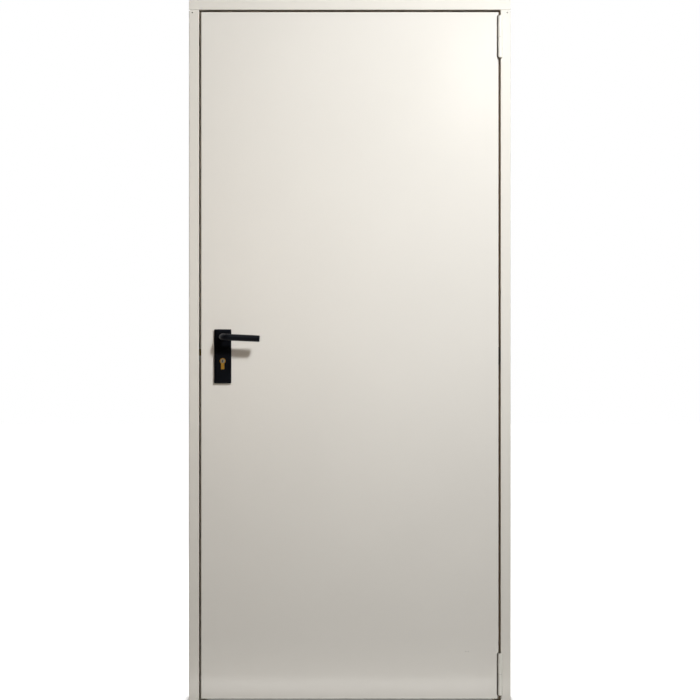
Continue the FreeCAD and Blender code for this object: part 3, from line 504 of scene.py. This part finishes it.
# %% Rubber and cardboard
def dull_stuff(name, tone, dust, roughness, grain_scale, grain_depth, stretch=(1.0, 1.0, 1.0)):
    """A matt material with dust or fibres in it."""
    material, tree, shader, metres = new_finish(name, roughness)
    clouds = remap(tree, noise(tree, metres, 45.0, 5.0, stretch), 0.4, 0.7)
    colour = blend_colours(tree, clouds, tone, dust)
    grain = noise(tree, metres, grain_scale, 4.0, stretch)
    sheen = remap(tree, grain, 0.3, 0.7, roughness - 0.08, roughness + 0.08)
    connect(tree, shader, colour, sheen, raise_surface(tree, grain, grain_depth, 0.6))
    return material


seal_rubber = dull_stuff(
    "seal_rubber", linear(96, 84, 66), linear(128, 114, 92), 0.7, 900.0, 0.03 * MILLIMETRE
)
cardboard_core = dull_stuff(
    "cardboard_core", linear(176, 138, 94), linear(198, 164, 122), 0.85, 500.0, 0.08 * MILLIMETRE,
    (1.0, 0.2, 1.0),
)
print("dull:", seal_rubber.name, cardboard_core.name)

# %% [markdown]
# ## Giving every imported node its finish
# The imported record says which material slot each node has. A table from slot to finish then
# dresses all of them in one pass, and a node that is forgotten stops the script.

# %% Assign the finishes
finish_of_slot = {
    "frame_paint": frame_paint,
    "leaf_paint": leaf_paint,
    "hinge_paint": hinge_paint,
    "seal_rubber": seal_rubber,
    "galvanised_steel": galvanised_steel,
    "pin_steel": pin_steel,
    "cardboard_core": cardboard_core,
    "yellow_zinc": yellow_zinc,
    "cylinder_brass": cylinder_brass,
    "cylinder_nickel": cylinder_nickel,
    "handle_plastic": lever_nylon,
    "cover_plastic": cover_nylon,
}
slot_of_node = {part["node"]: part["material_slot"] for part in frame["record"]["subparts"]}
for name, node in nodes.items():
    node.data.materials.clear()
    node.data.materials.append(finish_of_slot[slot_of_node[name]])
print("dressed nodes:", len(nodes), "slots:", len(set(slot_of_node.values())))

# %% [markdown]
# ## Small pieces: how they are made
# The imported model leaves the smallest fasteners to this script. Each kind is made once as a mesh
# that stands on its own z axis, and is then copied to its places. Meshes from a few rings of
# points are light and exact, where a cylinder with boolean cuts would be heavy and untidy. All
# the fasteners of one carrier are one piece, which rides on the body that carries them.


# %% Ring helpers, in millimetres
def ring_of(bm, radius, height, count):
    """A closed ring of points about the z axis."""
    points = []
    for number in range(count):
        angle = 2 * math.pi * number / count
        point = Vector((radius * math.cos(angle), radius * math.sin(angle), height))
        points.append(bm.verts.new(point * MILLIMETRE))
    return points


def wall_between(bm, lower, upper):
    """Faces from one ring up to the next ring with the same count."""
    for number, point in enumerate(lower):
        after = (number + 1) % len(lower)
        bm.faces.new((point, lower[after], upper[after], upper[number]))


def turned_wall(bm, profile, count):
    """A wall around the z axis through the (radius, height) pairs, and its two end rings."""
    rings = [ring_of(bm, radius, height, count) for radius, height in profile]
    for lower, upper in zip(rings, rings[1:]):
        wall_between(bm, lower, upper)
    return rings[0], rings[-1]


def fill_between(bm, *rings):
    """Flat faces inside the first ring and around the rings within it."""
    edges = []
    for ring in rings:
        for number, point in enumerate(ring):
            after = ring[(number + 1) % len(ring)]
            edges.append(bm.edges.get((point, after)) or bm.edges.new((point, after)))
    bmesh.ops.triangle_fill(bm, use_beauty=True, use_dissolve=False, edges=edges)


print("ring helpers ready: ring_of, wall_between, turned_wall, fill_between")


# %% Setting pieces out
def set_out(name, bm, places, facing, finish, body):
    """Copies of one small shape at each place in millimetres, its z axis turned to facing, as
    a single piece."""
    bmesh.ops.recalc_face_normals(bm, faces=bm.faces)
    shape = bpy.data.meshes.new(name + "_shape")
    bm.to_mesh(shape)
    bm.free()
    turned = Vector(facing).to_track_quat("Z", "X").to_matrix().to_4x4()
    together = bmesh.new()
    for place in places:
        first = len(together.verts)
        together.from_mesh(shape)
        together.verts.ensure_lookup_table()
        where = Matrix.Translation(Vector(place) * MILLIMETRE) @ turned
        bmesh.ops.transform(together, matrix=where, verts=together.verts[first:])
    mesh = bpy.data.meshes.new(name)
    together.to_mesh(mesh)
    together.free()
    bpy.data.meshes.remove(shape)
    mesh.materials.append(finish)
    piece = bpy.data.objects.new(name, mesh)
    bpy.context.scene.collection.objects.link(piece)
    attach(piece, body)
    print(name, "pieces:", len(places), "faces:", len(mesh.polygons))


print("set_out is ready")

# %% [markdown]
# ## Countersunk screws
# The hinge wings, the forend of the lock and the inner handle plate are held by countersunk
# screws with a cross recess. What shows of such a screw is a low crowned disc with a cross in it.
# The disc is made of rings, and its top is filled between the last ring and the outline of the
# cross, whose twelve points then go down as a slightly tapered well.

# %% Screw shape
CROSS_REACH = 0.56
CROSS_HALF_SLOT = 0.13
CROSS_TAPER = 0.8
CROSS_FLOOR = 0.03
HEAD_SUNK = 0.4


def cross_outline(radius):
    """The twelve corners of the cross recess in a screw of that radius, in turning order."""
    reach, half_slot = CROSS_REACH * radius, CROSS_HALF_SLOT * radius
    outline = []
    for quarter in range(4):
        spin = Matrix.Rotation(quarter * math.pi / 2, 3, "Z")
        for x, y in ((half_slot, half_slot), (reach, half_slot), (reach, -half_slot)):
            outline.append(spin @ Vector((x, y, 0.0)))
    return sorted(outline, key=lambda point: math.atan2(point.y, point.x))


def screw_shape(radius, crown):
    """The part of a countersunk screw that shows. radius and crown are in millimetres."""
    bm = bmesh.new()
    profile = (
        (0.96 * radius, -HEAD_SUNK),
        (radius, 0.0),
        (0.985 * radius, 0.25 * crown),
        (0.85 * radius, 0.8 * crown),
        (0.7 * radius, crown),
    )
    around = turned_wall(bm, profile, 32)[1]
    cross = cross_outline(radius)
    rim = [Vector((p.x, p.y, crown)) for p in cross]
    floor = [Vector((CROSS_TAPER * p.x, CROSS_TAPER * p.y, CROSS_FLOOR)) for p in cross]
    top = [bm.verts.new(point * MILLIMETRE) for point in rim]
    low = [bm.verts.new(point * MILLIMETRE) for point in floor]
    fill_between(bm, around, top)
    wall_between(bm, top, low)
    fill_between(bm, low)
    return bm


print("a cross has", len(cross_outline(1.0)), "corners")

# %% [markdown]
# ## Where the screws sit
# Each hinge wing has three screws, counted from the middle of the hinge: upwards on the leaf's
# half, downwards on the frame's half. The stepped wings face each other across the gap. The
# forend has a screw near each end, and the inner handle plate has one above and one below.

# %% Hinge screws
HINGE_SCREW = (4.4, 0.45)
SCREW_STEPS = (14, 31, 48)
WING_HALF_WIDTH = 10.0
LEAF_WING_FACE = 3.0
FRAME_WING_FACE = 5.0
for hinge in ("top", "bottom"):
    frame_half_low, frame_half_high = corners_of(hinge + "_hinge_frame_half")
    leaf_half_low, leaf_half_high = corners_of(hinge + "_hinge_leaf_half")
    middle = (frame_half_high.z + leaf_half_low.z) / 2
    leaf_x = leaf_half_low.x + LEAF_WING_FACE
    frame_x = frame_half_low.x + FRAME_WING_FACE
    wing_y = leaf_half_high.y - WING_HALF_WIDTH
    set_out(
        hinge + "_hinge_leaf_screws", screw_shape(*HINGE_SCREW),
        [(leaf_x, wing_y, middle + step) for step in SCREW_STEPS],
        (1, 0, 0), pin_steel, "leaf",
    )
    set_out(
        hinge + "_hinge_frame_screws", screw_shape(*HINGE_SCREW),
        [(frame_x, wing_y, middle - step) for step in SCREW_STEPS],
        (-1, 0, 0), pin_steel, "frame",
    )

# %% Forend screws and plate screws
FOREND_SCREW_INSET = 9.0
UPPER_PLATE_SCREW = 45.5
LOWER_PLATE_SCREW = 20.0
forend_low, forend_high = corners_of("lock_forend")
forend_y = (forend_low.y + forend_high.y) / 2
set_out(
    "forend_screws", screw_shape(4.0, 0.4),
    [
        (forend_low.x, forend_y, forend_high.z - FOREND_SCREW_INSET),
        (forend_low.x, forend_y, forend_low.z + FOREND_SCREW_INSET),
    ],
    (-1, 0, 0), yellow_zinc, "leaf",
)
plate_low, plate_high = corners_of("back_handle_plate")
plate_x = (plate_low.x + plate_high.x) / 2
set_out(
    "back_plate_screws", screw_shape(3.9, 0.7),
    [
        (plate_x, plate_high.y, plate_high.z - UPPER_PLATE_SCREW),
        (plate_x, plate_high.y, plate_low.z + LOWER_PLATE_SCREW),
    ],
    (0, 1, 0), pin_steel, "leaf",
)

# %% [markdown]
# ## Corner screws
# At each upper corner a headless screw sits in a small hole of the jamb and pulls the corner
# bracket tight. From the front it is a dark steel dot with a six-sided socket. It is made like
# the other screws, with a hexagon for the well, and it is deep enough to close the hole.

# %% Corner screw shape
CHAMFER = 0.3
SOCKET_SHARE = 0.58
SOCKET_FLOOR_SHARE = 0.54
SOCKET_DEPTH = 1.6


def socket_screw_shape(radius, length):
    """A headless screw with a hexagon socket, from its face back by length, in millimetres."""
    bm = bmesh.new()
    profile = ((radius, -length), (radius, -CHAMFER), (radius - CHAMFER, 0.0))
    back, face = turned_wall(bm, profile, 24)
    socket = ring_of(bm, SOCKET_SHARE * radius, 0.0, 6)
    well = ring_of(bm, SOCKET_FLOOR_SHARE * radius, -SOCKET_DEPTH, 6)
    fill_between(bm, face, socket)
    wall_between(bm, socket, well)
    fill_between(bm, well)
    fill_between(bm, back)
    return bm


CORNER_INSET = 10.0
CORNER_DROP = 8.0
FACE_RECESS = 0.4
corner_z = corners_of("hinge_jamb")[1].z - CORNER_DROP
for side, x in (("hinge", head_high.x - CORNER_INSET), ("lock", head_low.x + CORNER_INSET)):
    set_out(
        side + "_side_corner_screw", socket_screw_shape(2.0, 5.0),
        [(x, head_low.y + FACE_RECESS, corner_z)],
        (0, -1, 0), pin_steel, "frame",
    )

# %% [markdown]
# ## Pips on the plate inserts
# The small cover in each handle plate has a low round pip near each of its corners, where the
# mould's pins met it. A pip is half a millimetre high: four rings and a cap.


# %% Pips
def pip_shape(radius, height):
    """A low round pip, in millimetres."""
    bm = bmesh.new()
    profile = (
        (radius, -0.4 * height),
        (radius, 0.4 * height),
        (0.8 * radius, 0.85 * height),
        (0.4 * radius, height),
    )
    fill_between(bm, turned_wall(bm, profile, 16)[1])
    return bm


insert_low, insert_high = corners_of("front_plate_insert")
PIP_X = (insert_low.x + 4.3, insert_high.x - 5.5)
PIP_Z = (insert_low.z + 4.1, insert_high.z - 5.2)
back_insert_y = corners_of("back_plate_insert")[1].y
for side, face_y, facing in (("front", insert_low.y, (0, -1, 0)), ("back", back_insert_y, (0, 1, 0))):
    set_out(
        side + "_insert_pips", pip_shape(0.9, 0.5), [(x, face_y, z) for x in PIP_X for z in PIP_Z],
        facing, lever_nylon, "leaf",
    )

# %% [markdown]
# ## Light
# The lever's shadow falls to the lower left, so the main lamp stands at the upper right, before
# the door and above it. It gives most of the light and makes the paint fade towards the bottom. A
# weak and narrow lamp close to the upper right of the leaf adds to the glow there. A weak warm one
# from the left front keeps the shadows brown, and is hidden from mirrored rays, so that the plate
# stays black. A strip before the foot stands in for the light that a bright floor throws up, and a
# lamp behind lights the back.


# %% A lamp helper
def area_lamp(name, place, target, width, height, watts, colour, beam=180.0):
    """A soft rectangular lamp that looks at its target. beam is how wide it throws, in degrees."""
    data = bpy.data.lights.new(name, "AREA")
    data.spread = math.radians(beam)
    data.shape = "RECTANGLE"
    data.size = width
    data.size_y = height
    data.energy = watts
    data.color = colour
    lamp = bpy.data.objects.new(name, data)
    lamp.location = place
    lamp.rotation_euler = (Vector(target) - Vector(place)).to_track_quat("-Z", "Y").to_euler()
    lamp.visible_camera = False
    bpy.context.scene.collection.objects.link(lamp)
    return lamp


print("area_lamp is ready")

# %% Lamps
DAYLIGHT = (0.945, 0.973, 1.0)
PALE_YELLOW = (1.0, 0.99, 0.94)
WARM = (1.0, 0.86, 0.72)
FLOOR_WHITE = (1.0, 0.99, 0.97)
BACK_WHITE = (1.0, 0.985, 0.965)
area_lamp("near_lamp", (0.0, -1.28, 2.0), (0.0, FACE_Y, 1.82), 0.24, 0.32, 0.016, PALE_YELLOW, 34.0)
area_lamp("wide_lamp", (0.62, -2.22, 2.91), (-0.33, FACE_Y, 1.0), 0.36, 0.36, 48.9, DAYLIGHT, 130.0)
fill_lamp = area_lamp("fill_lamp", (-1.0, -4.5, 1.2), (-0.88, FACE_Y, 1.66), 0.8, 0.8, 2.9, WARM, 60.0)
fill_lamp.visible_glossy = False
foot_place, foot_target = (MIDDLE_X, -0.25, 0.03), (MIDDLE_X, FACE_Y, 0.05)
area_lamp("foot_lamp", foot_place, foot_target, 1.0, 0.04, 0.046, FLOOR_WHITE, 90.0)
area_lamp("back_lamp", (-2.4, 4.0, 3.2), (-0.45, 0.0, 1.1), 2.4, 2.0, 110.0, BACK_WHITE)

# %% [markdown]
# ## Sky and floor
# The door stands before plain white. The sky is pure white only for the camera and for what
# mirrors or lets light through. As a light it is dimmer and warmer, so that the paint keeps its
# tone. The floor is pale, and white is added to it for the camera, so that it meets the sky
# without a line and still shows the door's shadow. Nothing is added in the dark gap under the leaf.

# %% World
SKY_LIGHT = 0.08
SKY_LIGHT_TONE = linear(255, 229, 204)
SKY_SEEN_TONE = linear(255, 255, 255)
world = bpy.data.worlds.new("studio")
bpy.context.scene.world = world
world.use_nodes = True
sky = world.node_tree
background = sky.nodes["Background"]
ray = sky.nodes.new("ShaderNodeLightPath")
seen = math_of(sky, "MAXIMUM", ray.outputs["Is Camera Ray"], ray.outputs["Is Glossy Ray"])
seen = math_of(sky, "MAXIMUM", seen, ray.outputs["Is Transmission Ray"])
sky.links.new(remap(sky, seen, 0.0, 1.0, SKY_LIGHT, 1.0), background.inputs["Strength"])
sky_tone = blend_colours(sky, seen, SKY_LIGHT_TONE, SKY_SEEN_TONE)
sky.links.new(sky_tone, background.inputs["Color"])
print("sky light:", SKY_LIGHT)

# %% Floor
FLOOR_HALF = 30.0
FLOOR_DROP = 0.5 * MILLIMETRE
DARK_FLOOR = linear(178, 177, 175)
LIGHT_FLOOR = linear(184, 183, 181)
FLOOR_ADDED = 0.95
GAP_Y = -0.03
GAP_ASIDE = (0.48, 0.50)
GAP_AHEAD = (0.05, 0.09)


def pale_floor():
    """A wide pale floor that the camera sees a little brighter than it is."""
    material, tree, shader, metres = new_finish("floor", 0.8)
    shader.inputs["Specular IOR Level"].default_value = 0.1
    speck = blend_colours(tree, patches(tree, metres, 6.0, 4.0), DARK_FLOOR, LIGHT_FLOOR)
    tree.links.new(speck, shader.inputs["Base Color"])
    path = tree.nodes.new("ShaderNodeLightPath")
    shader.inputs["Emission Color"].default_value = (1.0, 1.0, 1.0, 1.0)
    aside = remap(tree, away_from(tree, metres, "X", MIDDLE_X), *GAP_ASIDE)
    ahead = remap(tree, away_from(tree, metres, "Y", GAP_Y), *GAP_AHEAD)
    open_floor = math_of(tree, "MAXIMUM", aside, ahead)
    shine = times(tree, open_floor, path.outputs["Is Camera Ray"])
    tree.links.new(times(tree, shine, FLOOR_ADDED), shader.inputs["Emission Strength"])
    corners = [(x, y, 0.0) for x in (-FLOOR_HALF, FLOOR_HALF) for y in (-FLOOR_HALF, FLOOR_HALF)]
    mesh = bpy.data.meshes.new("floor")
    mesh.from_pydata(corners, [], [(0, 2, 3, 1)])
    mesh.materials.append(material)
    floor = bpy.data.objects.new("floor", mesh)
    floor.location.z = -FLOOR_DROP
    bpy.context.scene.collection.objects.link(floor)


pale_floor()
print("floor laid just under z 0")

# %% [markdown]
# ## A dark tent around the front
# Black plastic and brass mirror the room in front of them. Before pure white they would look grey
# and pale, so a photographer hangs dark cloth behind the camera, to its sides and above. Only
# mirrored rays see this one: it neither shades the door nor shows in any picture.

# %% Dark tent
TENT_BACK, TENT_FRONT = -12.0, -0.5
TENT_HALF_WIDTH = 15.0
TENT_HEIGHT = 14.0
DARK_CLOTH = linear(30, 30, 32)
WORN_CLOTH = linear(44, 44, 46)


def dark_tent():
    """Dark cloth behind, beside and above the camera that is seen in reflections alone."""
    material, tree, shader, metres = new_finish("dark_tent", 1.0)
    shader.inputs["Specular IOR Level"].default_value = 0.0
    weave = blend_colours(tree, patches(tree, metres, 3.0, 2.0), DARK_CLOTH, WORN_CLOTH)
    tree.links.new(weave, shader.inputs["Base Color"])
    sides = (-TENT_HALF_WIDTH, TENT_HALF_WIDTH)
    corners = [(x, y, z) for z in (0.0, TENT_HEIGHT) for x in sides for y in (TENT_BACK, TENT_FRONT)]
    mesh = bpy.data.meshes.new("dark_tent")
    mesh.from_pydata(corners, [], [(0, 2, 6, 4), (0, 4, 5, 1), (2, 3, 7, 6), (4, 6, 7, 5)])
    mesh.materials.append(material)
    tent = bpy.data.objects.new("dark_tent", mesh)
    tent.visible_camera = False
    tent.visible_diffuse = False
    tent.visible_shadow = False
    bpy.context.scene.collection.objects.link(tent)


dark_tent()
print("tent stands from y", TENT_BACK, "to y", TENT_FRONT)
